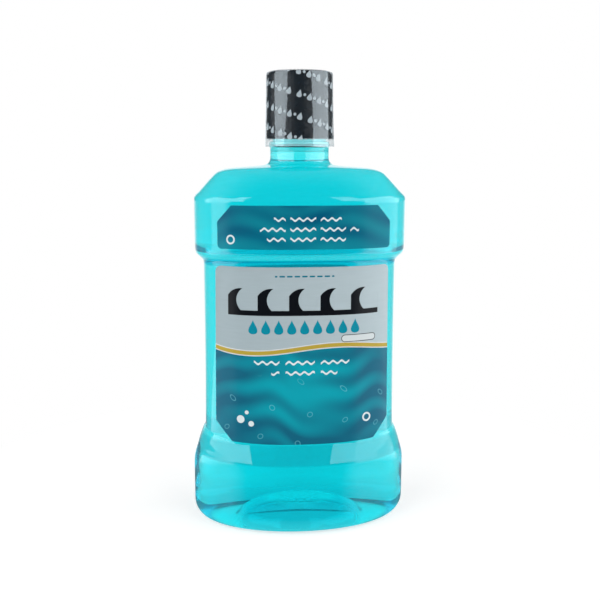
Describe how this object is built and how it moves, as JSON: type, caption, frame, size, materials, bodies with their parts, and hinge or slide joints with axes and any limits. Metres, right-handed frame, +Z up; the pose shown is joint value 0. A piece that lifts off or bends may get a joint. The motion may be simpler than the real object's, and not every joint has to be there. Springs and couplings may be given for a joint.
{
  "type": "mouthwash bottle with measuring screw cap",
  "caption": "Large clear teal mouthwash bottle with a waisted body, wrap labels, a domed foot, a threaded neck and a black ribbed measuring cap under a clear tamper film.",
  "frame": {"origin": "centre of the foot on the surface the bottle stands on, under the neck's axis", "axes": "+Z up along the neck, -Y out of the front label, +X to the right seen from the front"},
  "size_m": [0.132, 0.0826, 0.2735],
  "materials": {
    "clear_teal_plastic": "clear, thin, lightly tinted, glossy",
    "mouthwash": "clear teal liquid",
    "front_label_film": "printed film, silver-grey panel over teal gradients, satin gloss",
    "shoulder_label_film": "printed film, deep teal gradient, satin gloss",
    "back_label_film": "printed film, pale, satin gloss",
    "black_plastic": "moulded, satin, finely ribbed",
    "seal_foam": "soft white foam",
    "clear_film": "thin clear shrink film, glossy, sparse pale print"
  },
  "bodies": {
    "root": {"bottle_body": "clear_teal_plastic", "mouthwash": "mouthwash", "front_label": "front_label_film", "shoulder_label": "shoulder_label_film", "back_label": "back_label_film"},
    "cap_carrier": {"cap_seal_washer": "seal_foam"},
    "cap": {"measuring_cap": "black_plastic", "shrink_sleeve": "clear_film"}
  },
  "joints": [
    {"name": "cap_lift", "type": "slide", "parent": "root", "child": "cap_carrier", "axis": [0, 0, 1], "range_m": [0, 0.0063]},
    {"name": "cap_turn", "type": "hinge", "parent": "cap_carrier", "child": "cap", "pos_m": [0, 0, 0.2346], "axis": [0, 0, 1], "range_deg": [0, 540]}
  ],
  "couplings": [
    {"joint": "cap_lift", "follows": "cap_turn", "m_per_rad": 0.00066845}
  ]
}
